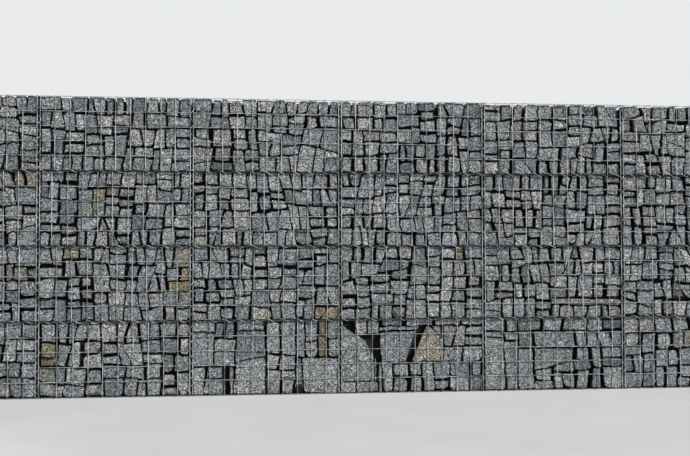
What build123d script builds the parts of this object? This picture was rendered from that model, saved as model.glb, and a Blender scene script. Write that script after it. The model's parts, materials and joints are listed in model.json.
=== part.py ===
from build123d import *
import os

# Gabion wall: welded mesh baskets filled with stone, stacked in tiers and laced together.
# Millimetres, +Z up, +X along the wall, the front faces -Y, origin in the middle of the footprint.

# Driving sizes
bays = 6  # baskets side by side
tiers = 4  # baskets one above the other
mesh_pitch = 100.0  # wire to wire in the welded mesh
mesh_wire = 4.5  # welded mesh wire
columns = 10  # mesh cells along a basket
rows = 5  # mesh cells up a basket
ranks = 10  # mesh cells from the front of a basket to its back
joint_gap = 15.0  # between the edge wires of neighbouring baskets
main_step = 2  # every second wire is a main wire, the lighter ones between are left out
binder_wire = 4.0  # spiral binder wire
binder_turns = 5  # turns of a binder over one tier, one to a mesh cell
binder_clearance = 0.3  # binder to the edge wires that it laces
binder_reach = 14.5  # from the mesh plane to the front of a binder's loops
stone_clearance = 5.0  # how far the stones keep off the binders

# What follows from them: each side is measured over its edge wires
basket_length = columns * mesh_pitch + mesh_wire
panel_height = rows * mesh_pitch + mesh_wire
basket_depth = ranks * mesh_pitch + mesh_wire
bay_spacing = basket_length + joint_gap
tier_spacing = panel_height + mesh_wire
front_y = -basket_depth / 2
end_x = (bays * bay_spacing - joint_gap) / 2
tier_floors = [mesh_wire + tier * tier_spacing for tier in range(tiers)]
bay_centres = [(bay - (bays - 1) / 2) * bay_spacing for bay in range(bays)]
joints = [x + bay_spacing / 2 for x in bay_centres[:-1]]


def main_wires(cells):
    """Centres of the main wires over a side: both edges, and every second wire in from each."""
    kept = {0, cells}
    for step in range(main_step, cells // 2 + 1, main_step):
        kept |= {step, cells - step}
    return [(index - cells / 2) * mesh_pitch for index in sorted(kept)]


def edge_and_middle(size):
    """Centres of the two edge wires and the one halfway between."""
    return [-(size - mesh_wire) / 2, 0, (size - mesh_wire) / 2]


def edges(size):
    """Centres of the two edge wires."""
    return [-(size - mesh_wire) / 2, (size - mesh_wire) / 2]


def welded_net(width, height, uprights, rows):
    """Flat welded mesh, drawn as its wires: they share one plane and are fused where they cross."""
    with BuildSketch() as net:
        with Locations(*[(x, 0) for x in uprights]):
            Rectangle(mesh_wire, height)
        with Locations(*[(0, y) for y in rows]):
            Rectangle(width, mesh_wire)
    return net.sketch


front_net = welded_net(
    basket_length,
    panel_height,
    main_wires(columns),
    main_wires(rows),
)
back_net = welded_net(basket_length, panel_height, edge_and_middle(basket_length), edges(panel_height))
end_depth = basket_depth - 2 * mesh_wire
end_net = welded_net(end_depth, panel_height, edge_and_middle(end_depth), edges(panel_height))
top_net = welded_net(
    basket_length, basket_depth, edge_and_middle(basket_length), edge_and_middle(basket_depth)
)
flat_net = welded_net(basket_length, basket_depth, edges(basket_length), edges(basket_depth))
diaphragm_net = welded_net(basket_depth, panel_height, edges(basket_depth), edges(panel_height))

os.makedirs("parts", exist_ok=True)

# Front and back mesh, a row of six panels to each tier
for tier, floor in enumerate(tier_floors):
    middle = floor + panel_height / 2
    with BuildPart() as front_mesh:
        with BuildSketch(Plane((0, front_y, middle), x_dir=(1, 0, 0), z_dir=(0, -1, 0))):
            with Locations(*[(x, 0) for x in bay_centres]):
                add(front_net)
        extrude(amount=-mesh_wire)
    front_mesh.part.label = f"front_mesh_tier_{tier + 1}"
    export_step(front_mesh.part, f"parts/front_mesh_tier_{tier + 1}.step")

    with BuildPart() as back_mesh:
        with BuildSketch(Plane((0, -front_y, middle), x_dir=(1, 0, 0), z_dir=(0, -1, 0))):
            with Locations(*[(x, 0) for x in bay_centres]):
                add(back_net)
        extrude(amount=mesh_wire)
    back_mesh.part.label = f"back_mesh_tier_{tier + 1}"
    export_step(back_mesh.part, f"parts/back_mesh_tier_{tier + 1}.step")

# End mesh, one panel to each tier, between the front and the back panels
with BuildPart() as left_end_mesh:
    for floor in tier_floors:
        with BuildSketch(Plane((-end_x, 0, floor + panel_height / 2), x_dir=(0, 1, 0), z_dir=(1, 0, 0))):
            add(end_net)
    extrude(amount=mesh_wire)
left_end_mesh.part.label = "left_end_mesh"
export_step(left_end_mesh.part, "parts/left_end_mesh.step")

with BuildPart() as right_end_mesh:
    for floor in tier_floors:
        with BuildSketch(Plane((end_x, 0, floor + panel_height / 2), x_dir=(0, 1, 0), z_dir=(1, 0, 0))):
            add(end_net)
    extrude(amount=-mesh_wire)
right_end_mesh.part.label = "right_end_mesh"
export_step(right_end_mesh.part, "parts/right_end_mesh.step")

# Base mesh under the lowest tier
with BuildPart() as base_mesh:
    with BuildSketch(Plane.XY):
        with Locations(*[(x, 0) for x in bay_centres]):
            add(flat_net)
    extrude(amount=mesh_wire)
base_mesh.part.label = "base_mesh"
export_step(base_mesh.part, "parts/base_mesh.step")

# Lids: each closes its tier and carries the next one, and the top one stays open to view
for tier, floor in enumerate(tier_floors):
    with BuildPart() as lid_mesh:
        with BuildSketch(Plane.XY.offset(floor + panel_height)):
            with Locations(*[(x, 0) for x in bay_centres]):
                add(top_net if tier == tiers - 1 else flat_net)
        extrude(amount=mesh_wire)
    lid_mesh.part.label = f"lid_mesh_tier_{tier + 1}"
    export_step(lid_mesh.part, f"parts/lid_mesh_tier_{tier + 1}.step")

# Inner cross panels at the joints, their edge wires in the gap between the front panels
with BuildPart() as diaphragm_meshes:
    for x in joints:
        for floor in tier_floors:
            with BuildSketch(
                Plane((x - mesh_wire / 2, 0, floor + panel_height / 2), x_dir=(0, 1, 0), z_dir=(1, 0, 0))
            ):
                add(diaphragm_net)
    extrude(amount=mesh_wire)
diaphragm_meshes.part.label = "diaphragm_meshes"
export_step(diaphragm_meshes.part, "parts/diaphragm_meshes.step")

# Spiral binders: four straight runs to a turn, round the edge wires of both baskets at a joint
loop_x = joint_gap / 2 + mesh_wire + binder_clearance + binder_wire * 2**0.5 / 2
loop_y = binder_reach
rise = (panel_height - binder_wire) / (4 * binder_turns)
corners = [(-loop_x, -loop_y), (loop_x, -loop_y), (loop_x, loop_y), (-loop_x, loop_y)]
turns = [
    (corners[step % 4][0], corners[step % 4][1], binder_wire / 2 + step * rise)
    for step in range(4 * binder_turns + 1)
]
corner_cut = loop_x + loop_y + binder_wire + stone_clearance
with BuildPart() as spiral:
    with BuildLine() as coil:
        Polyline(*turns)
    with BuildSketch(Plane(origin=coil.line @ 0, z_dir=coil.line % 0)):
        Rectangle(binder_wire, binder_wire)
    sweep(path=coil.line, transition=Transition.RIGHT)

with BuildPart() as joint_binders:
    with Locations(*[(x, front_y + mesh_wire / 2, floor) for x in joints for floor in tier_floors]):
        add(spiral.part)
joint_binders.part.label = "joint_binders"
export_step(joint_binders.part, "parts/joint_binders.step")

# Stone fill, one packed block to each basket, its upright corners cut back for the binders
fill_depth = basket_depth - 2 * mesh_wire
for tier, floor in enumerate(tier_floors):
    for bay, centre in enumerate(bay_centres):
        left = -end_x + mesh_wire if bay == 0 else joints[bay - 1] + mesh_wire / 2
        right = end_x - mesh_wire if bay == bays - 1 else joints[bay] - mesh_wire / 2
        with BuildPart() as stone_fill:
            with BuildSketch(Plane.XY.offset(floor)) as plan:
                with Locations(((left + right) / 2, 0)):
                    Rectangle(right - left, fill_depth)
                chamfer(plan.vertices(), corner_cut)
            extrude(amount=panel_height)
        stone_fill.part.label = f"stone_fill_tier_{tier + 1}_bay_{bay + 1}"
        export_step(stone_fill.part, f"parts/stone_fill_tier_{tier + 1}_bay_{bay + 1}.step")
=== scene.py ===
import json
import math
import random

import bmesh
import bpy
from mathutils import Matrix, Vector

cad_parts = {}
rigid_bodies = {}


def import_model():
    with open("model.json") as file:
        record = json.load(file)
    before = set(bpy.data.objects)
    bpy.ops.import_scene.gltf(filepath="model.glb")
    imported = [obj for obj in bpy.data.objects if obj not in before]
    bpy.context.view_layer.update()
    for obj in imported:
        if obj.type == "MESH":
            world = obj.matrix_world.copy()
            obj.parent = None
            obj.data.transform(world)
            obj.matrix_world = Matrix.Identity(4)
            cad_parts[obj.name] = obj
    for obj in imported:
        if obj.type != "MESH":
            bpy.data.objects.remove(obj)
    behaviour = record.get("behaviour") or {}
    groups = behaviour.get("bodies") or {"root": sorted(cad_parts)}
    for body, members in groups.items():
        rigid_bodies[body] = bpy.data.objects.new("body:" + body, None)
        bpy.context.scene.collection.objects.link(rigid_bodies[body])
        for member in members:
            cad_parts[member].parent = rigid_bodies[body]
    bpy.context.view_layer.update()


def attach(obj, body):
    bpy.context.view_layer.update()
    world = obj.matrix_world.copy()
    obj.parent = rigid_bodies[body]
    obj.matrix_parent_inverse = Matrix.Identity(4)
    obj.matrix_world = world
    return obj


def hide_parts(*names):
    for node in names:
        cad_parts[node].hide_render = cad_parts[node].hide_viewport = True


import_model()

bpy.ops.object.select_all(action="DESELECT")


# Camera. It stands 6.6 m in front of the wall's face, low, a little left of its middle and
# turned slightly to the right, with a 50 mm lens.
bpy.ops.object.camera_add(
    location=(-0.704, -7.114, 0.959),
    rotation=(math.radians(91.61), math.radians(0.08), math.radians(-6.36)),
)
camera = bpy.context.object
camera.name = "camera"
camera.data.lens = 50
camera.data.sensor_width = 36
bpy.context.scene.camera = camera


# Base mesh. Each basket stands on a flat panel of 4.5 mm galvanised wire, welded where the
# wires cross, 100 mm apart. The wires along one side lie below, and the cross wires on them.
BAYS, TIERS = 6, 4
CELLS_LONG, CELLS_HIGH, CELLS_DEEP = 10, 5, 10
WIRE = 0.0045
CELL = 0.1
JOINT_GAP = 0.015
BASKET_LONG = CELLS_LONG * CELL + WIRE
BASKET_HIGH = CELLS_HIGH * CELL + WIRE
BASKET_DEEP = CELLS_DEEP * CELL + WIRE
BAY_STEP = BASKET_LONG + JOINT_GAP
TIER_STEP = BASKET_HIGH + WIRE
WALL_END = (BAYS * BAY_STEP - JOINT_GAP) / 2
FACE = BASKET_DEEP / 2
BAY_LEFT = [bay * BAY_STEP - WALL_END for bay in range(BAYS)]
TIER_FLOOR = [WIRE + tier * TIER_STEP for tier in range(TIERS)]
ROW_BACK = 1.43 * WIRE  # middle of the cross wires: the welds press them 0.3 mm into the others


def pick(piece):
    """Selects one piece alone."""
    bpy.ops.object.select_all(action="DESELECT")
    piece.select_set(True)
    bpy.context.view_layer.objects.active = piece
    return piece


def open_up(piece, mode="FACE"):
    """One piece in edit mode with nothing selected, and its mesh to pick from."""
    pick(piece)
    bpy.ops.object.mode_set(mode="EDIT")
    bpy.ops.mesh.select_mode(type=mode)
    bpy.ops.mesh.select_all(action="DESELECT")
    return bmesh.from_edit_mesh(piece.data)


def close_up(piece):
    """Back to object mode, with all faces outwards."""
    bpy.ops.mesh.select_all(action="SELECT")
    bpy.ops.mesh.normals_make_consistent(inside=False)
    bpy.ops.object.mode_set(mode="OBJECT")
    return piece


def place_at(piece, turn=(0, 0, 0), size=(1, 1, 1), at=(0, 0, 0)):
    """Turns and moves a piece to its place, which its mesh then keeps."""
    pick(piece)
    piece.rotation_euler, piece.scale, piece.location = turn, size, at
    bpy.ops.object.transform_apply(location=True, rotation=True, scale=True)
    return piece


def set_in(model, **place):
    """A copy of a model, with its own mesh, in its place."""
    pick(model)
    bpy.ops.object.duplicate()
    return place_at(bpy.context.object, **place)


def join(name, parts):
    """One piece of several, under the real piece's name."""
    bpy.ops.object.select_all(action="DESELECT")
    for part in parts:
        part.select_set(True)
    bpy.context.view_layer.objects.active = parts[0]
    bpy.ops.object.join()
    parts[0].name = parts[0].data.name = name
    return parts[0]


def apply_all(piece):
    """Applies a piece's modifiers in their order."""
    pick(piece)
    for modifier in list(piece.modifiers):
        bpy.ops.object.modifier_apply(modifier=modifier.name)
    return piece


def drawn_wire(cells):
    """One straight wire along X, drawn cell by cell so that it can sway between its welds."""
    bpy.ops.mesh.primitive_circle_add(
        vertices=6, radius=WIRE / 2, fill_type="NGON", rotation=(0, math.pi / 2, 0)
    )
    wire = bpy.context.object
    bpy.ops.object.transform_apply(rotation=True)
    bpy.ops.object.mode_set(mode="EDIT")
    bpy.ops.mesh.select_all(action="SELECT")
    for step in [CELL] * cells + [WIRE]:
        bpy.ops.mesh.extrude_region_move(TRANSFORM_OT_translate={"value": (step, 0, 0)})
    return close_up(wire)


def row_of(wire, count, step):
    """Equal wires side by side."""
    array = wire.modifiers.new("row", "ARRAY")
    array.use_relative_offset = False
    array.use_constant_offset = True
    array.constant_offset_displace = step
    array.count = count
    return apply_all(wire)


def linear(colour):
    """An sRGB hex colour as the linear values that a shader takes."""
    parts = [int(colour[i:i + 2], 16) / 255 for i in (1, 3, 5)]
    return [p / 12.92 if p <= 0.04045 else ((p + 0.055) / 1.055) ** 2.4 for p in parts] + [1]


def add(tree, kind, values=None, links=None, **settings):
    """One node, with its settings, its socket values and its links."""
    node = tree.nodes.new("ShaderNode" + kind)
    for name, value in settings.items():
        setattr(node, name, value)
    for socket, value in (values or {}).items():
        node.inputs[socket].default_value = value
    for socket, source in (links or {}).items():
        tree.links.new(source, node.inputs[socket])
    return node


def new_material(name):
    """A material with its shader, and the object's own coordinates to lay patterns on."""
    material = bpy.data.materials.new(name)
    material.use_nodes = True
    tree = material.node_tree
    return material, tree, tree.nodes["Principled BSDF"], add(tree, "TexCoord").outputs["Object"]


def stops(ramp, colours):
    """Sets a colour ramp's stops from (place, colour) pairs."""
    band = ramp.color_ramp
    while len(band.elements) < len(colours):
        band.elements.new(0.5)
    for stop, (place, colour) in zip(band.elements, colours):
        stop.position, stop.color = place, linear(colour)
    return ramp


# Hot-dip galvanised steel, some years outdoors: the spangle has gone to a dull, uneven light grey,
# paler where zinc salts sit and darker where road dirt holds, so gloss is low and patchy.
ZINC_PATCHES = 7  # to the metre, so 140 mm each
ZINC_GRAINS = 330  # drips and dirt of 3 mm
galvanised, tree, shader, place = new_material("weathered_galvanised_wire")
patches = add(
    tree, "TexNoise", {"Scale": ZINC_PATCHES, "Detail": 4, "Roughness": 0.65}, {"Vector": place}
)
zinc = stops(
    add(tree, "ValToRGB", links={"Fac": patches.outputs["Fac"]}),
    [(0.38, "#5A6062"), (0.5, "#949A9C"), (0.62, "#CDD1D2")],
)
tree.links.new(zinc.outputs["Color"], shader.inputs["Base Color"])
shader.inputs["Metallic"].default_value = 0.35
dull = add(
    tree, "MapRange", {"From Min": 0.3, "From Max": 0.7, "To Min": 0.62, "To Max": 0.42},
    {"Value": patches.outputs["Fac"]},
)
tree.links.new(dull.outputs["Result"], shader.inputs["Roughness"])
grains = add(tree, "TexNoise", {"Scale": ZINC_GRAINS, "Detail": 2}, {"Vector": place})
relief = add(
    tree, "Bump", {"Strength": 0.35, "Distance": 0.0006}, {"Height": grains.outputs["Fac"]}
)
tree.links.new(relief.outputs["Normal"], shader.inputs["Normal"])

# The same wire where it lies level, and the binders: a film of stone dust that the rain leaves,
# in patches, so it is a little darker and almost without gloss.
DUST_PATCHES = 24  # 40 mm each
dusty_wire, tree, shader, place = new_material("dusty_galvanised_wire")
film = add(
    tree, "TexNoise", {"Scale": DUST_PATCHES, "Detail": 3, "Roughness": 0.6}, {"Vector": place}
)
greys = stops(
    add(tree, "ValToRGB", links={"Fac": film.outputs["Fac"]}),
    [(0.34, "#54595B"), (0.5, "#878D8F"), (0.66, "#C2C6C7")],
)
tree.links.new(greys.outputs["Color"], shader.inputs["Base Color"])
shader.inputs["Metallic"].default_value = 0.2
shader.inputs["Roughness"].default_value = 0.7
relief = add(tree, "Bump", {"Strength": 0.4, "Distance": 0.0008}, {"Height": film.outputs["Fac"]})
tree.links.new(relief.outputs["Normal"], shader.inputs["Normal"])

# The same wire between two tiers or two baskets, coloured nearly black as painted shade for the
# shade that falls between them, dull and crusty, with no metal left to see.
CRUST_LUMPS = 45  # 22 mm each
painted_shade_wire, tree, shader, place = new_material("galvanised_wire_in_painted_shade")
crust = add(
    tree, "TexNoise", {"Scale": CRUST_LUMPS, "Detail": 3, "Roughness": 0.6}, {"Vector": place}
)
shade_greys = stops(
    add(tree, "ValToRGB", links={"Fac": crust.outputs["Fac"]}),
    [(0.35, "#0E0F0F"), (0.55, "#1D1E1E"), (0.75, "#3C3E3F")],
)
tree.links.new(shade_greys.outputs["Color"], shader.inputs["Base Color"])
shader.inputs["Roughness"].default_value = 0.85
relief = add(tree, "Bump", {"Strength": 0.5, "Distance": 0.001}, {"Height": crust.outputs["Fac"]})
tree.links.new(relief.outputs["Normal"], shader.inputs["Normal"])


def welded_panel(name, across, up, upright_finish, row_finish, lowest_finish):
    """A panel that stands on X with its outer side at y 0, facing -Y, its uprights outside and
    its cross wires behind them."""
    uprights = place_at(drawn_wire(up), turn=(0, -math.pi / 2, 0), at=(WIRE / 2, WIRE / 2, 0))
    row_of(uprights, across + 1, (CELL, 0, 0))
    uprights.data.materials.append(upright_finish)
    lowest = place_at(drawn_wire(across), at=(0, ROW_BACK, WIRE / 2))
    lowest.data.materials.append(lowest_finish)
    rows = place_at(drawn_wire(across), at=(0, ROW_BACK, WIRE / 2 + CELL))
    row_of(rows, up, (0, 0, CELL))
    rows.data.materials.append(row_finish)
    return join(name, [uprights, lowest, rows])


def sway(piece, axis, reach, seed):
    """Lets panels bow inwards by up to reach here and there, as handled mesh does."""
    cloud = bpy.data.textures.new("sway", "CLOUDS")
    cloud.noise_scale = 0.22 + 0.01 * seed
    bend = piece.modifiers.new("sway", "DISPLACE")
    bend.texture = cloud
    bend.texture_coords = "LOCAL"
    bend.direction = axis
    bend.mid_level = 0
    bend.strength = reach
    return apply_all(piece)


def smooth(piece, crease):
    """Smooth shading, with the edges that turn by more than crease degrees left sharp."""
    pick(piece)
    bpy.ops.object.shade_smooth_by_angle(angle=math.radians(crease))


WIRE_CREASE = 65


def fit_mesh(piece, *nodes):
    """Finish and frame of one mesh piece."""
    smooth(piece, WIRE_CREASE)
    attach(piece, "root")
    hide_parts(*nodes)


# The base panels are of the nearly black wire: painted shade under the wall.
flat_panel = welded_panel("flat_panel", CELLS_LONG, CELLS_DEEP, painted_shade_wire, painted_shade_wire, painted_shade_wire)
base = join(
    "base_mesh_welded",
    [set_in(flat_panel, turn=(math.pi / 2, 0, 0), at=(x, FACE, 0)) for x in BAY_LEFT],
)
fit_mesh(base, "base_mesh")


# Front and back mesh. One welded panel of 10 by 5 cells closes the front of each basket and one
# its back, the uprights outside, laced to the base and the lid. Work on site pulls the inner
# uprights off their line, so no two tiers match.
SWAY = 0.004
SLIP_VARIES = 0.004
UPRIGHTS_SLIP = [
    [0.020, 0.022, 0.012, 0.014, 0.024, 0.012],
    [-0.010, 0.012, 0.018, 0.014, 0.010, 0.016],
    [-0.020, -0.018, -0.014, -0.004, 0.002, 0.004],
    [0.002, 0.000, 0.002, -0.002, 0.003, 0.000],
]
# The lowest wire of each standing panel is nearly black: painted shade between the tiers.
standing_panel = welded_panel(
    "standing_panel", CELLS_LONG, CELLS_HIGH, galvanised, dusty_wire, painted_shade_wire
)


def slipped_panel(slip, seed):
    """A standing panel whose inner uprights are off their line, each a little differently."""
    chance = random.Random(seed)
    panel = set_in(standing_panel)
    mesh = open_up(panel, "VERT")
    for column in range(1, CELLS_LONG):
        line = WIRE / 2 + column * CELL
        for point in mesh.verts:
            point.select_set(abs(point.co.x - line) < WIRE and point.co.y < WIRE)
        mesh.select_flush_mode()
        off = slip + chance.uniform(-SLIP_VARIES, SLIP_VARIES)
        bpy.ops.transform.translate(value=(off, 0, 0))
        bpy.ops.mesh.select_all(action="DESELECT")
        mesh = bmesh.from_edit_mesh(panel.data)
    bpy.ops.object.mode_set(mode="OBJECT")
    return panel


for tier, floor in enumerate(TIER_FLOOR):
    panels = [slipped_panel(UPRIGHTS_SLIP[tier][bay], 10 * tier + bay) for bay in range(BAYS)]
    front = join(
        f"front_mesh_tier_{tier + 1}_welded",
        [set_in(panel, at=(x, -FACE, floor)) for panel, x in zip(panels, BAY_LEFT)],
    )
    sway(front, "Y", SWAY, tier + 4)
    fit_mesh(front, f"front_mesh_tier_{tier + 1}")
    back = join(
        f"back_mesh_tier_{tier + 1}_welded",
        [
            set_in(panel, turn=(0, 0, math.pi), at=(-x, FACE, floor))
            for panel, x in zip(panels, BAY_LEFT)
        ],
    )
    sway(back, "Y", -SWAY, tier + 5)
    fit_mesh(back, f"back_mesh_tier_{tier + 1}")
    for panel in panels:
        bpy.data.objects.remove(panel)


# End mesh. The same welded panels close the two ends of the wall. They stand between the front
# and the back panels and are laced to them.
for name, turn, x, y in (
    ("left_end_mesh", -math.pi / 2, -WALL_END, FACE),
    ("right_end_mesh", math.pi / 2, WALL_END, -FACE),
):
    end = join(
        name + "_welded",
        [set_in(standing_panel, turn=(0, 0, turn), at=(x, y, z)) for z in TIER_FLOOR],
    )
    sway(end, "X", SWAY if x < 0 else -SWAY, 3)
    fit_mesh(end, name)


# Cross panels. In each joint between two baskets stands a welded side panel, edge to edge with
# the front ones, so from outside only its edge wires are seen. The spirals lace it in.
CROSS_SHARE = 0.97  # of the wall's depth, clear of the front and back panels
CROSS_SIDE = 1.2 * WIRE  # from the middle of the joint to the panel's outer side
# The cross panels are of the nearly black wire: painted shade in the joints.
cross_panel = welded_panel("cross_panel", CELLS_DEEP, CELLS_HIGH, painted_shade_wire, painted_shade_wire, painted_shade_wire)
cross = join(
    "cross_panels_welded",
    [
        set_in(
            cross_panel, turn=(0, 0, math.pi / 2), size=(CROSS_SHARE, 1, 1),
            at=(x - JOINT_GAP / 2 + CROSS_SIDE, -FACE * CROSS_SHARE, z),
        )
        for x in BAY_LEFT[1:]
        for z in TIER_FLOOR
    ],
)
bpy.data.objects.remove(cross_panel)
fit_mesh(cross, "diaphragm_meshes")


# Stone fill. Quarried grey granite, 80 to 150 mm, packed by hand: the flattest side of each stone
# goes to the mesh, course on course, with the gaps left open and rubble thrown in behind.
PACK_PAST = 0.002  # the stones reach this far past the basket's edge wires
PACK_LONG = BASKET_LONG + 2 * PACK_PAST
PACK_HIGH = TIER_STEP
STONE_DEEP = 0.08
LONG_JOINT = 0.075  # one longer than this bends
LONG_EDGE = 0.11  # one longer than this gets a corner that can be knocked off
WANDER = 0.011
SLIVER = 0.0065  # area over outline, in a stone about 13 mm wide: it has fallen out
TINY = 0.0032  # face area of a stone that is often missing
SMALL = 0.009  # face area of a stone that may sit well back
THIN_JOINT = 0.0065
WIDER_UPRIGHT, WIDER_LEVEL = 0.036, 0.030  # what the widest joints add to that
MOST_LOST = 0.35  # share of its size that a stone may lose to its joints
TURNED, TIPPED = 1.8, 3  # degrees off true, in its own plane and out of it
BEHIND_MESH, FURTHER_BACK, WELL_BACK = 0.0095, 0.012, 0.026
RIM = 0.004
MOST_RIM = 0.6  # share of a face that its rim may take
CROWN = 0.006  # how far a split face stands out of its rim


def holding(mesh, u, v):
    """The stone outline that holds a point of the face."""
    for face in mesh.faces:
        corners = [vert.co for vert in face.verts]
        crossed = [
            (a.z > v) != (b.z > v) and u < a.x + (v - a.z) * (b.x - a.x) / (b.z - a.z)
            for a, b in zip(corners, corners[1:] + corners[:1])
        ]
        if sum(crossed) % 2:
            return face
    return None


def part_along(face, u, v, lean):
    """Splits one outline through (u, v): lean 0 gives an upright joint, 90 degrees a level one."""
    turn = math.radians(lean)
    bpy.ops.mesh.select_all(action="DESELECT")
    face.select_set(True)
    bpy.ops.mesh.bisect(plane_co=(u, 0, v), plane_no=(math.cos(turn), 0, math.sin(turn)))


def limits(face):
    """Left and right limit of an outline, then its lower and upper one."""
    us = [vert.co.x for vert in face.verts]
    vs = [vert.co.z for vert in face.verts]
    return min(us), max(us), min(vs), max(vs)


def halve_sides(stones, longest):
    """Puts a point halfway along each side that is longer than this, until none is."""
    bpy.ops.mesh.select_mode(type="EDGE")
    while True:
        mesh = bmesh.from_edit_mesh(stones.data)
        side = max(mesh.edges, key=lambda edge: edge.calc_length())
        if side.calc_length() < longest:
            break
        bpy.ops.mesh.select_all(action="DESELECT")
        side.select_set(True)
        bpy.ops.mesh.subdivide(number_cuts=1)
    bpy.ops.mesh.select_mode(type="VERT")


def packed_face(seed, largest, joints=(), whole=(), holes=()):
    """The stones behind one basket's front panel, in the panel's own plane at y 0, facing -Y.
    largest is the face area past which a stone is split. joints are (u, v, lean in degrees)
    drawn first, whole the places of stones left whole, and holes those of missing ones."""
    chance = random.Random(seed)
    bpy.ops.mesh.primitive_plane_add(
        size=1, location=(PACK_LONG / 2, 0, PACK_HIGH / 2), rotation=(math.pi / 2, 0, 0)
    )
    stones = bpy.context.object
    stones.scale = (PACK_LONG, PACK_HIGH, 1)
    bpy.ops.object.transform_apply(location=True, rotation=True, scale=True)
    mesh = open_up(stones)
    for u, v, lean in joints:
        part_along(holding(mesh, u, v), u, v, lean)
        mesh = bmesh.from_edit_mesh(stones.data)

    # Courses: the largest stone is split across its long side until none is too large. A few stay
    # large, and one joint in four leans more.
    kept = list(whole)
    while True:
        mesh = bmesh.from_edit_mesh(stones.data)
        left_whole = {holding(mesh, u, v) for u, v in kept}
        face = max(
            (f for f in mesh.faces if f not in left_whole),
            key=lambda f: f.calc_area(), default=None,
        )
        if face is None or face.calc_area() < largest:
            break
        middle = face.calc_center_median()
        if face.calc_area() < 1.7 * largest and chance.random() < 0.08:
            kept.append((middle.x, middle.z))
            continue
        left, right, low, top = limits(face)
        wide, high = right - left, top - low
        share = chance.uniform(0.38, 0.62)
        lean = chance.gauss(0, 14 if chance.random() < 0.25 else 5)
        if wide > high * chance.uniform(0.85, 1.1):
            part_along(face, left + wide * share, middle.z, lean)
        else:
            part_along(face, middle.x, low + high * share, 90 + 0.6 * lean)

    # Joints that bend and wander, as no stone has a straight side
    halve_sides(stones, LONG_JOINT)
    mesh = bmesh.from_edit_mesh(stones.data)
    bpy.ops.mesh.select_all(action="DESELECT")
    for vert in mesh.verts:
        vert.select_set(not vert.is_boundary)
    bpy.ops.transform.vertex_random(offset=WANDER, seed=seed)
    bpy.ops.mesh.select_all(action="SELECT")
    bpy.ops.transform.resize(value=(1, 0, 1), center_override=(0, 0, 0))
    bpy.ops.mesh.select_mode(type="FACE")

    # Holes, where a stone is missing or too thin to stay in its place
    mesh = bmesh.from_edit_mesh(stones.data)
    bpy.ops.mesh.select_all(action="DESELECT")
    for face in mesh.faces:
        missing = face.calc_area() < TINY and chance.random() < 0.2
        sliver = face.calc_area() < SLIVER * face.calc_perimeter()
        face.select_set(missing or sliver)
    for u, v in holes:
        holding(mesh, u, v).select_set(True)
    bpy.ops.mesh.delete(type="FACE")

    # Each outline apart from its neighbours, a little smaller, turned, tipped and set back. Small
    # stones tip more, and one small one in eleven sits well back.
    bpy.ops.mesh.select_all(action="SELECT")
    bpy.ops.mesh.edge_split(type="EDGE")
    bpy.ops.mesh.dissolve_limited(angle_limit=math.radians(4))
    mesh = bmesh.from_edit_mesh(stones.data)
    for index in range(len(mesh.faces)):
        mesh = bmesh.from_edit_mesh(stones.data)
        mesh.faces.ensure_lookup_table()
        bpy.ops.mesh.select_all(action="DESELECT")
        face = mesh.faces[index]
        face.select_set(True)
        left, right, low, top = limits(face)
        wide, high = right - left, top - low
        middle = Vector(((right + left) / 2, 0, (top + low) / 2))
        gap_wide = min(THIN_JOINT + WIDER_UPRIGHT * chance.random() ** 5, MOST_LOST * wide)
        gap_high = min(THIN_JOINT + WIDER_LEVEL * chance.random() ** 5, MOST_LOST * high)
        tip = 0.3 / (0.09 + max(wide, high))
        bpy.ops.transform.resize(
            value=(1 - gap_wide / wide, 1, 1 - gap_high / high), center_override=middle
        )
        for axis, by, degrees in (("Y", 1, TURNED), ("X", tip, TIPPED), ("Z", tip, TIPPED)):
            bpy.ops.transform.rotate(
                value=math.radians(by * chance.gauss(0, degrees)), orient_axis=axis,
                center_override=middle,
            )
        nearest = min(vert.co.y for vert in face.verts)
        back = BEHIND_MESH + FURTHER_BACK * chance.random() ** 2
        if wide * high < SMALL and chance.random() < 0.09:
            back += WELL_BACK
        bpy.ops.transform.translate(value=(0, back - nearest, 0))

    # Corners knocked off, some well and some a little, and edges uneven
    halve_sides(stones, LONG_EDGE)
    for ratio, percent in ((0.2, 26), (0.4, 13)):
        bpy.ops.mesh.select_all(action="DESELECT")
        bpy.ops.mesh.select_random(ratio=ratio, seed=seed + percent)
        bpy.ops.mesh.bevel(offset_type="PERCENT", offset_pct=percent, affect="VERTICES")
    bpy.ops.mesh.select_all(action="SELECT")
    bpy.ops.transform.vertex_random(offset=0.003, seed=seed)
    bpy.ops.mesh.dissolve_degenerate(threshold=0.0045)
    bpy.ops.mesh.select_all(action="SELECT")
    bpy.ops.mesh.delete_loose(use_verts=True, use_edges=True, use_faces=False)

    # The body of each stone behind its face, then the split face itself, higher in its middle
    bpy.ops.mesh.select_mode(type="FACE")
    bpy.ops.mesh.select_all(action="SELECT")
    bpy.ops.mesh.extrude_region_move(TRANSFORM_OT_translate={"value": (0, STONE_DEEP, 0)})
    bpy.ops.mesh.select_all(action="SELECT")
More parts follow.
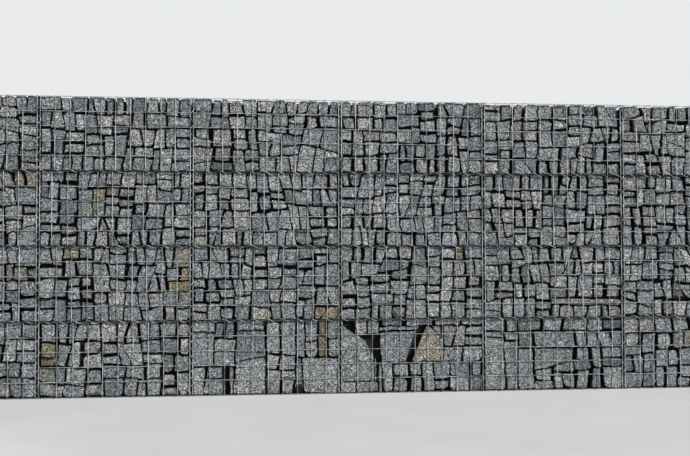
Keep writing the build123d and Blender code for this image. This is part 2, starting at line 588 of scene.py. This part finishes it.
    # Extrude leaves its faces in another order each run, and later draws follow that order
    bpy.ops.mesh.sort_elements(type="CURSOR_DISTANCE", elements={"VERT", "EDGE", "FACE"})
    bpy.ops.mesh.normals_make_consistent(inside=False)
    mesh = bmesh.from_edit_mesh(stones.data)
    for face in mesh.faces:
        face.select_set(face.normal.y < -0.7)
    bpy.ops.mesh.inset(thickness=0, depth=CROWN, use_individual=True)
    mesh = bmesh.from_edit_mesh(stones.data)
    fronts = [face for face in mesh.faces if face.select]
    for front in fronts:
        bpy.ops.mesh.select_all(action="DESELECT")
        front.select_set(True)
        left, right, low, top = limits(front)
        keep_wide = 1 - min(2 * RIM / (right - left), MOST_RIM)
        keep_high = 1 - min(2 * RIM / (top - low), MOST_RIM)
        bpy.ops.transform.resize(
            value=(keep_wide, 1, keep_high),
            center_override=((right + left) / 2, front.verts[0].co.y, (top + low) / 2),
        )
    for front in fronts:
        front.select_set(True)
    bpy.ops.mesh.poke(offset=0.002)
    bpy.ops.transform.vertex_random(offset=0.0025, seed=seed + 1)
    bpy.ops.mesh.subdivide(number_cuts=1)
    bpy.ops.transform.vertex_random(offset=0.0016, seed=seed + 2)
    return close_up(stones)


SPOT_REACH = 0.06
OPEN_SIDE = 0.03  # how near the wall's own end or top a side must lie to be kept clear of painted shade, as the faces are
# How much painted shade the rim of a face takes
RIM_SHADE = 0.55


def tint(stones, tier, bay, spots=()):
    """Marks each stone with its tone, rust, moss and painted shade, for the finish to read: no
    shade on its face, some painted shade on its rim, full painted shade on the sides in the
    joints, where shade falls. spots are (u, v, rust, moss) of stones that differ, and the rusty
    ones are pale."""
    outer_sides = [
        (tier == TIERS, Vector((0, 0, 1)), Vector((0, 0, PACK_HIGH))),
        (bay == 1, Vector((-1, 0, 0)), Vector()),
        (bay == BAYS, Vector((1, 0, 0)), Vector((PACK_LONG, 0, 0))),
    ]
    chance = random.Random(100 * tier + bay)
    mesh = bmesh.new()
    mesh.from_mesh(stones.data)
    mark = mesh.faces.layers.float_color.new("granite_tint")
    done = set()
    for first in mesh.faces:
        if first in done:
            continue
        stone = [first]
        done.add(first)
        for face in stone:
            for edge in face.edges:
                for other in edge.link_faces:
                    if other not in done:
                        done.add(other)
                        stone.append(other)
        # A stone whose faces came out inwards is turned right side out
        if sum(f.normal.dot(f.calc_center_median()) * f.calc_area() for f in stone) < 0:
            for face in stone:
                face.normal_flip()
        middle = sum((face.calc_center_median() for face in stone), Vector()) / len(stone)
        # Most stones are of a middle tone, and few have a trace of rust or moss
        tone = min(1.0, max(0.0, chance.gauss(0.54, 0.17)))
        rust = 0.25 * chance.random() ** 6
        moss = 0.2 * chance.random() ** 5
        for u, v, more_rust, more_moss in spots:
            if math.hypot(middle.x - u, middle.z - v) < SPOT_REACH:
                rust, moss = max(rust, more_rust), max(moss, more_moss)
                tone = max(tone, 0.45 + 0.6 * rust)
        front = min(vert.co.y for face in stone for vert in face.verts)
        for face in stone:
            middle = face.calc_center_median()
            near = middle.y < front + STONE_DEEP / 3
            clear_of_shade = near
            for open_side, way, end in outer_sides:
                outwards = face.normal.dot(way) > 0.5
                if open_side and outwards and (end - middle).dot(way) < OPEN_SIDE:
                    clear_of_shade = True
            # Painted shade: the rim of a face takes some, and the sides in the joints take it in
            # full.
            rim = near and face.normal.y > -0.8
            face[mark] = (tone, rust, moss, (RIM_SHADE if rim else 0.0) if clear_of_shade else 1.0)
    mesh.to_mesh(stones.data)
    mesh.free()
    return stones


# The largest face in each tier, in m2, larger stones lying lowest. Then, by tier and bay, the
# packings drawn one by one, and the stones that are rusty or green.
LARGEST = {1: 0.0165, 2: 0.0128, 3: 0.0118, 4: 0.0138}
BY_HAND = {
    (1, 3): dict(
        joints=[
            (0.287, 0.25, -2), (0.14, 0.193, 90), (0.145, 0.3, -3), (0.07, 0.43, 88),
            (0.21, 0.385, 86), (0.21, 0.30, 92), (0.215, 0.1, 0), (0.248, 0.1, 2),
            (0.502, 0.3, 1), (0.39, 0.235, 103), (0.39, 0.435, 90), (0.707, 0.3, -1),
            (0.6, 0.265, 88), (0.6, 0.38, 1), (0.85, 0.25, 92), (0.77, 0.37, 0),
            (0.858, 0.37, -1), (0.925, 0.37, 1), (0.89, 0.4, 87), (0.755, 0.12, 6),
        ],
        whole=[
            (0.07, 0.31), (0.39, 0.33), (0.39, 0.12), (0.55, 0.38), (0.655, 0.38), (0.87, 0.12),
        ],
        holes=[(0.232, 0.1)],
    ),
    (1, 4): dict(
        joints=[
            (0.265, 0.25, -1), (0.1, 0.075, 90), (0.105, 0.405, 56), (0.205, 0.3, 26),
            (0.236, 0.13, 2), (0.095, 0.48, 0), (0.2, 0.402, 90), (0.188, 0.45, 0),
            (0.5, 0.46, 90), (0.5, 0.205, 90), (0.505, 0.33, -22), (0.4, 0.424, 90),
            (0.55, 0.34, -21.6), (0.722, 0.32, 1), (0.665, 0.42, 46),
            (0.85, 0.31, 92), (0.29, 0.1, 2), (0.365, 0.1, -3), (0.475, 0.1, 0),
            (0.58, 0.1, 2), (0.765, 0.1, -2),
        ],
        whole=[(0.1, 0.25), (0.36, 0.32), (0.4, 0.44), (0.62, 0.3)],
        holes=[(0.06, 0.48), (0.22, 0.37), (0.24, 0.28), (0.507, 0.3)],
    ),
    (1, 5): dict(
        joints=[
            (0.5, 0.415, 90), (0.355, 0.2, 1), (0.145, 0.2, 2), (0.07, 0.37, 84),
            (0.245, 0.2, -3), (0.2, 0.345, 90), (0.3, 0.29, 92), (0.6, 0.295, 90),
            (0.665, 0.36, 0), (0.655, 0.2, 0), (0.5, 0.16, 104),
        ],
        whole=[(0.07, 0.2), (0.195, 0.2), (0.30, 0.15), (0.5, 0.355), (0.52, 0.24)],
    ),
    (2, 5): dict(
        joints=[(0.48, 0.25, 2), (0.75, 0.142, 90), (0.75, 0.085, 89), (0.75, 0.3, 91)],
        whole=[(0.73, 0.112)],
    ),
}
SPOTS = {
    (4, 1): [(0.93, 0.10, 0.0, 0.5), (0.80, 0.05, 0.0, 0.6)],
    (4, 2): [(0.36, 0.12, 0.0, 0.35), (0.46, 0.06, 0.0, 0.35), (0.58, 0.10, 0.0, 0.4),
             (0.68, 0.05, 0.0, 0.35), (0.76, 0.11, 0.0, 0.35)],
    (3, 1): [(0.92, 0.47, 0.7, 0.0)],
    (3, 2): [(0.44, 0.37, 0.7, 0.0), (0.35, 0.27, 0.0, 0.5)],
    (3, 3): [(0.53, 0.23, 0.55, 0.0)],
    (4, 4): [(0.56, 0.37, 0.6, 0.0), (0.76, 0.25, 0.7, 0.0)],
    (4, 5): [(0.50, 0.40, 0.5, 0.0), (0.22, 0.37, 0.5, 0.1)],
    (4, 6): [(0.04, 0.35, 0.45, 0.0), (0.2, 0.12, 0.0, 0.5)],
    (2, 2): [(0.24, 0.46, 0.55, 0.0), (0.95, 0.44, 0.5, 0.0), (0.96, 0.34, 0.9, 0.0),
             (0.94, 0.26, 0.85, 0.0), (0.95, 0.17, 0.3, 0.0)],
    (2, 1): [(0.85, 0.33, 0.4, 0.3)],
    (2, 3): [(0.90, 0.04, 0.8, 0.0)],
    (2, 4): [(0.85, 0.43, 0.8, 0.0)],
    (2, 5): [(0.73, 0.112, 0.3, 0.0)],
    (1, 2): [(0.05, 0.36, 0.75, 0.1), (0.06, 0.27, 0.75, 0.2), (0.06, 0.13, 0.35, 0.35)],
    (1, 3): [(0.89, 0.45, 0.8, 0.35), (0.89, 0.33, 0.8, 0.35)],
    (1, 4): [(0.62, 0.31, 0.55, 0.0)],
    (1, 6): [(0.46, 0.30, 0.6, 0.1)],
}

# Split grey granite: a mid grey ground of quartz, paler feldspar and black mica, with no gloss.
# The grains are 2 to 4 mm, and over them coarser ones of 9 mm are drawn, which show from afar.
GRAIN = 110  # to the metre, so 9 mm each
FINE_GRAIN = 300  # 3 mm, the true grains, which show from nearby
CLOUDS = 30  # 30 mm
CHIPS = 42  # fracture steps of about 25 mm
SEAM_CELLS = 21  # seams about 50 mm apart
granite, tree, shader, place = new_material("split_grey_granite")
marks = add(tree, "Attribute", attribute_name="granite_tint")
channels = add(tree, "SeparateColor", links={"Color": marks.outputs["Color"]})
grain = add(
    tree, "TexNoise", {"Scale": GRAIN, "Detail": 3, "Roughness": 0.7}, {"Vector": place}
)
speckle = stops(
    add(tree, "ValToRGB", links={"Fac": grain.outputs["Fac"]}),
    [(0.36, "#292B2E"), (0.45, "#74777A"), (0.55, "#B0B2B4"), (0.66, "#F0F1EF")],
)
cloudy = add(
    tree, "TexNoise", {"Scale": CLOUDS, "Detail": 4, "Roughness": 0.65}, {"Vector": place}
)
worn = add(
    tree, "MapRange", {"From Min": 0.3, "From Max": 0.7, "To Min": 0.5, "To Max": 1.45},
    {"Value": cloudy.outputs["Fac"]},
)
fine = add(
    tree, "TexNoise", {"Scale": FINE_GRAIN, "Detail": 2, "Roughness": 0.6}, {"Vector": place}
)
glints = add(
    tree, "MapRange", {"From Min": 0.35, "From Max": 0.65, "To Min": 0.7, "To Max": 1.3},
    {"Value": fine.outputs["Fac"]},
)
brightness = add(
    tree, "Math", links={0: worn.outputs["Result"], 1: glints.outputs["Result"]},
    operation="MULTIPLY",
)
mottled = add(
    tree, "VectorMath",
    links={0: speckle.outputs["Color"], "Scale": brightness.outputs["Value"]}, operation="SCALE",
)
# From block to block the stone runs from a blue grey to a paler, warmer one
block_colour = stops(
    add(tree, "ValToRGB", links={"Fac": channels.outputs["Red"]}),
    [(0.0, "#898E97"), (0.35, "#BBBFC5"), (0.7, "#DADBDB"), (1.0, "#F4F1E8")],
)
toned = add(
    tree, "VectorMath",
    links={0: mottled.outputs["Vector"], 1: block_colour.outputs["Color"]}, operation="MULTIPLY",
)
rusted = add(
    tree, "Mix", {7: linear("#C9B48C")},
    {0: channels.outputs["Green"], 6: toned.outputs["Vector"]},
    data_type="RGBA", blend_type="MULTIPLY",
)
mossy = add(
    tree, "Mix", {7: linear("#A9BE93")},
    {0: channels.outputs["Blue"], 6: rusted.outputs[2]},
    data_type="RGBA", blend_type="MULTIPLY",
)
# Painted shade: the sides in the joints, and less so the rims, are much darker than the faces
joint_shade = add(
    tree, "Mix", {7: linear("#2F2E2B")},
    {0: marks.outputs["Alpha"], 6: mossy.outputs[2]},
    data_type="RGBA", blend_type="MULTIPLY",
)
# Open fracture seams across the stones, hair fine and drawn 5 to 7 mm wide, on about half of
# their faces
bent = add(tree, "TexNoise", {"Scale": CLOUDS, "Detail": 2}, {"Vector": place})
bent_place = add(
    tree, "Mix", {0: 0.035}, {4: place, 5: bent.outputs["Color"]}, data_type="VECTOR",
)
seams = add(
    tree, "TexVoronoi", {"Scale": SEAM_CELLS}, {"Vector": bent_place.outputs[1]},
    feature="DISTANCE_TO_EDGE",
)
seam = add(
    tree, "MapRange", {"From Min": 0.02, "From Max": 0.075, "To Min": 1, "To Max": 0},
    {"Value": seams.outputs["Distance"]},
)
some = add(
    tree, "MapRange", {"From Min": 0.46, "From Max": 0.53, "To Min": 0, "To Max": 0.9},
    {"Value": cloudy.outputs["Fac"]},
)
open_seam = add(
    tree, "Math", links={0: seam.outputs["Result"], 1: some.outputs["Result"]},
    operation="MULTIPLY",
)
cracked = add(
    tree, "Mix", {7: linear("#1E1F1F")},
    {0: open_seam.outputs["Value"], 6: joint_shade.outputs[2]}, data_type="RGBA",
)
tree.links.new(cracked.outputs[2], shader.inputs["Base Color"])
rough = add(
    tree, "MapRange", {"From Min": 0.3, "From Max": 0.7, "To Min": 0.95, "To Max": 0.72},
    {"Value": grain.outputs["Fac"]},
)
tree.links.new(rough.outputs["Result"], shader.inputs["Roughness"])
shader.inputs["Specular IOR Level"].default_value = 0.3
# The steps of the fracture, with the grain over them
fracture = add(
    tree, "TexNoise", {"Scale": CHIPS, "Detail": 4, "Roughness": 0.65}, {"Vector": place}
)
steps = add(
    tree, "Bump", {"Strength": 0.8, "Distance": 0.006}, {"Height": fracture.outputs["Fac"]}
)
pits = add(
    tree, "Bump", {"Strength": 0.7, "Distance": 0.002},
    {"Height": grain.outputs["Fac"], "Normal": steps.outputs["Normal"]},
)
tree.links.new(pits.outputs["Normal"], shader.inputs["Normal"])

# Granite rubble behind the faced stones, coloured nearly black as painted shade for the shade deep
# behind them, lumpy and dull
LUMPS = 30  # 30 mm
CORE_FACE = 0.085  # how far the rubble lies behind the front and back mesh
shaded_rubble, tree, shader, place = new_material("rubble_in_painted_shade")
lumps = add(tree, "TexNoise", {"Scale": LUMPS, "Detail": 3}, {"Vector": place})
rubble_shade = stops(
    add(tree, "ValToRGB", links={"Fac": lumps.outputs["Fac"]}),
    [(0.35, "#121211"), (0.6, "#242322"), (0.75, "#383633")],
)
tree.links.new(rubble_shade.outputs["Color"], shader.inputs["Base Color"])
shader.inputs["Roughness"].default_value = 0.95
relief = add(tree, "Bump", {"Strength": 0.9, "Distance": 0.012}, {"Height": lumps.outputs["Fac"]})
tree.links.new(relief.outputs["Normal"], shader.inputs["Normal"])


def rubble_core(left, right, low, high):
    """The loose fill behind the faced stones, as one lumpy block."""
    bpy.ops.mesh.primitive_cube_add(size=1, location=((left + right) / 2, 0, (low + high) / 2))
    core = bpy.context.object
    core.scale = (right - left, 2 * (FACE - CORE_FACE), high - low)
    bpy.ops.object.transform_apply(location=True, rotation=True, scale=True)
    open_up(core)
    bpy.ops.mesh.select_all(action="SELECT")
    bpy.ops.mesh.subdivide(number_cuts=6)
    close_up(core)
    # Its finish is nearly black: painted shade.
    core.data.materials.clear()
    core.data.materials.append(shaded_rubble)
    return core


packings = {}
for tier in range(1, TIERS + 1):
    for bay in range(1, BAYS + 1):
        stones = packed_face(100 * tier + bay, LARGEST[tier], **BY_HAND.get((tier, bay), {}))
        tint(stones, tier, bay, SPOTS.get((tier, bay), ()))
        stones.data.materials.clear()
        stones.data.materials.append(granite)
        packings[tier, bay] = stones

# Each packing stands at the front and, turned round, at the back, and some of them at the ends
# and flat on top too. The outer bays and tiers are a little smaller, because the end panels, the
# base and the top lid take room.
PANEL_THICK = 2 * WIRE
UNDER_LID = 1.4 * WIRE
END_BAY_SHARE, END_BAY_INSET = 0.989, 0.011
TIER_SHARE = {1: 0.995, TIERS: 0.997}
CROSSWISE_SHARE = 0.8  # of a packing, between the stones of the two sides next to it
TOP_END_SHARE = 0.085  # what the top stones leave to those of the ends
CORE_END, CORE_TOP = 0.09, 0.02  # how far the rubble lies behind the end mesh and below the top
STONE_CREASE = 38
for tier, floor in enumerate(TIER_FLOOR, 1):
    for bay, left in enumerate(BAY_LEFT, 1):
        stones = packings[tier, bay]
        narrow = END_BAY_SHARE if bay in (1, BAYS) else 1
        short = TIER_SHARE.get(tier, 1)
        foot = floor if tier == 1 else floor - WIRE / 2
        start = left - PACK_PAST + (END_BAY_INSET if bay == 1 else 0)
        parts = [
            set_in(stones, size=(narrow, 1, short), at=(start, PANEL_THICK - FACE, foot)),
            set_in(
                packings[tier, BAYS + 1 - bay], turn=(0, 0, math.pi), size=(narrow, 1, short),
                at=(start + PACK_LONG * narrow, FACE - PANEL_THICK, foot),
            ),
        ]
        half = CROSSWISE_SHARE * PACK_LONG / 2
        if bay == 1:
            parts.append(set_in(
                packings[tier, 4], turn=(0, 0, -math.pi / 2), size=(CROSSWISE_SHARE, 1, short),
                at=(PANEL_THICK - WALL_END, half, foot),
            ))
        if bay == BAYS:
            parts.append(set_in(
                packings[tier, 2], turn=(0, 0, math.pi / 2), size=(CROSSWISE_SHARE, 1, short),
                at=(WALL_END - PANEL_THICK, -half, foot),
            ))
        top = floor + BASKET_HIGH - UNDER_LID
        if tier == TIERS:
            for other, y in (
                (bay % BAYS + 1, 0), ((bay + 2) % BAYS + 1, -CROSSWISE_SHARE * PACK_HIGH)
            ):
                cut = TOP_END_SHARE if bay in (1, BAYS) else 0
                parts.append(set_in(
                    packings[3, other], turn=(-math.pi / 2, 0, 0),
                    size=(narrow - cut, 1, CROSSWISE_SHARE),
                    at=(start + (PACK_LONG * cut if bay == 1 else 0), y, top),
                ))
        core = rubble_core(
            left - JOINT_GAP / 2 + (CORE_END if bay == 1 else 0),
            left + BASKET_LONG + JOINT_GAP / 2 - (CORE_END if bay == BAYS else 0),
            floor,
            top - CORE_TOP if tier == TIERS else floor + TIER_STEP,
        )
        fill = join(f"stones_tier_{tier}_bay_{bay}", parts + [core])
        smooth(fill, STONE_CREASE)
        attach(fill, "root")
        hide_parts(f"stone_fill_tier_{tier}_bay_{bay}")
for stones in packings.values():
    bpy.data.objects.remove(stones)


# Lids. Each tier is closed by flat panels like the base, laced to its sides, and the next tier
# stands on them. The top one is open to view.
LID_SAG = 0.002
open_lid = welded_panel("open_lid", CELLS_LONG, CELLS_DEEP, galvanised, dusty_wire, dusty_wire)
for tier, floor in enumerate(TIER_FLOOR):
    top = floor + TIER_STEP
    # The lids under a tier are of the nearly black wire, painted shade; the top one is not.
    panel = open_lid if tier == TIERS - 1 else flat_panel
    lid = join(
        f"lid_mesh_tier_{tier + 1}_welded",
        [set_in(panel, turn=(-math.pi / 2, 0, 0), at=(x, -FACE, top)) for x in BAY_LEFT],
    )
    sway(lid, "Z", -LID_SAG, tier)
    fit_mesh(lid, f"lid_mesh_tier_{tier + 1}")
for panel in (open_lid, flat_panel, standing_panel):
    bpy.data.objects.remove(panel)


# Spiral binders. The baskets are laced together by spirals of 4 mm galvanised wire with a 100 mm
# pitch, screwed down over the edge wires of both baskets, one to each tier at each upright joint.
BINDER_WIRE = 0.004
UPRIGHT_REACH, LEVEL_REACH = 0.0142, 0.0092  # radius to the middle of the wire


def spiral(reach, turns):
    """A round spiral along Z from z 0, closed at both ends."""
    bpy.ops.mesh.primitive_circle_add(
        vertices=6, radius=BINDER_WIRE / 2, fill_type="NGON",
        location=(reach, 0, 0), rotation=(math.pi / 2, 0, 0),
    )
    binder = bpy.context.object
    steep = math.hypot(2 * math.pi * reach, CELL) / (2 * math.pi * reach)
    binder.scale = (1, steep, 1)
    bpy.ops.object.transform_apply(location=True, rotation=True, scale=True)
    coil = binder.modifiers.new("coil", "SCREW")
    coil.axis = "Z"
    coil.screw_offset = CELL
    coil.iterations = turns
    coil.steps = coil.render_steps = 16
    coil.use_merge_vertices = False
    apply_all(binder)
    mesh = open_up(binder, "EDGE")
    for edge in mesh.edges:
        edge.select_set(edge.is_boundary)
    bpy.ops.mesh.fill_holes(sides=0)
    return close_up(binder)


def fit_binder(piece, *nodes):
    """Finish and frame of one binder piece."""
    piece.data.materials.clear()
    piece.data.materials.append(dusty_wire)
    smooth(piece, WIRE_CREASE)
    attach(piece, "root")
    if nodes:
        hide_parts(*nodes)


upright_spiral = spiral(UPRIGHT_REACH, CELLS_HIGH)
upright_binders = join(
    "upright_joint_spirals",
    [
        set_in(
            upright_spiral, turn=(0, 0, 0.7 * index + 1.3 * tier),
            at=(x - JOINT_GAP / 2, -FACE + WIRE / 2, floor + WIRE / 2),
        )
        for index, x in enumerate(BAY_LEFT[1:])
        for tier, floor in enumerate(TIER_FLOOR)
    ],
)
bpy.data.objects.remove(upright_spiral)
fit_binder(upright_binders, "joint_binders")

# Slimmer ones lie along the level joints between the tiers and end just short of the corners.
# No two neighbours start at the same angle.
LEVEL_SHARE = 0.992
level_spiral = spiral(LEVEL_REACH, CELLS_LONG)
level_binders = join(
    "level_joint_spirals",
    [
        place_at(
            set_in(level_spiral, turn=(0, 0, 0.9 * index + tier)),
            turn=(0, math.pi / 2, 0), size=(1, 1, LEVEL_SHARE),
            at=(x + BINDER_WIRE + WIRE / 2, -FACE + WIRE, floor - WIRE / 2),
        )
        for index, x in enumerate(BAY_LEFT)
        for tier, floor in enumerate(TIER_FLOOR)
        if tier
    ],
)
bpy.data.objects.remove(level_spiral)
fit_binder(level_binders)


# Floor and light. A pale matt studio floor, a soft key from the right in front, a weaker and
# softer fill from the left behind, and an even pale surround.
bpy.ops.mesh.primitive_plane_add(size=60, location=(0, 0, 0))
floor_sheet = bpy.context.object
floor_sheet.name = "studio_floor"
open_up(floor_sheet)
bpy.ops.mesh.select_all(action="SELECT")
bpy.ops.mesh.subdivide(number_cuts=3)
close_up(floor_sheet)
paper, tree, shader, place = new_material("pale_studio_floor")
fibres = add(tree, "TexNoise", {"Scale": 1.5, "Detail": 2}, {"Vector": place})
pale = stops(
    add(tree, "ValToRGB", links={"Fac": fibres.outputs["Fac"]}),
    [(0.3, "#DCDCDA"), (0.7, "#E2E2E0")],
)
tree.links.new(pale.outputs["Color"], shader.inputs["Base Color"])
shader.inputs["Roughness"].default_value = 0.9
floor_sheet.data.materials.append(paper)

bpy.ops.object.light_add(
    type="SUN", location=(6, -8, 6), rotation=(math.radians(58), 0, math.radians(36))
)
key = bpy.context.object
key.name = "soft_key"
key.data.energy = 3.85
key.data.angle = math.radians(4)
bpy.ops.object.light_add(
    type="SUN", location=(-5, 8, 5), rotation=(math.radians(-62), 0, math.radians(30))
)
back_fill = bpy.context.object
back_fill.name = "soft_back_fill"
back_fill.data.energy = 1.5
back_fill.data.angle = math.radians(25)

# The surround lights the wall at 0.22, and shows at 0.9 to the camera and in the gloss of wires
world = bpy.data.worlds.new("studio")
bpy.context.scene.world = world
world.use_nodes = True
tree = world.node_tree
rays = add(tree, "LightPath")
seen = add(
    tree, "Math", links={0: rays.outputs["Is Camera Ray"], 1: rays.outputs["Is Glossy Ray"]},
    operation="MAXIMUM",
)
strength = add(
    tree, "MapRange", {"From Min": 0, "From Max": 1, "To Min": 0.22, "To Max": 0.9},
    {"Value": seen.outputs["Value"]},
)
tree.links.new(strength.outputs["Result"], tree.nodes["Background"].inputs["Strength"])
tree.nodes["Background"].inputs["Color"].default_value = linear("#F4F6F8")
bpy.context.scene.view_settings.view_transform = "Standard"
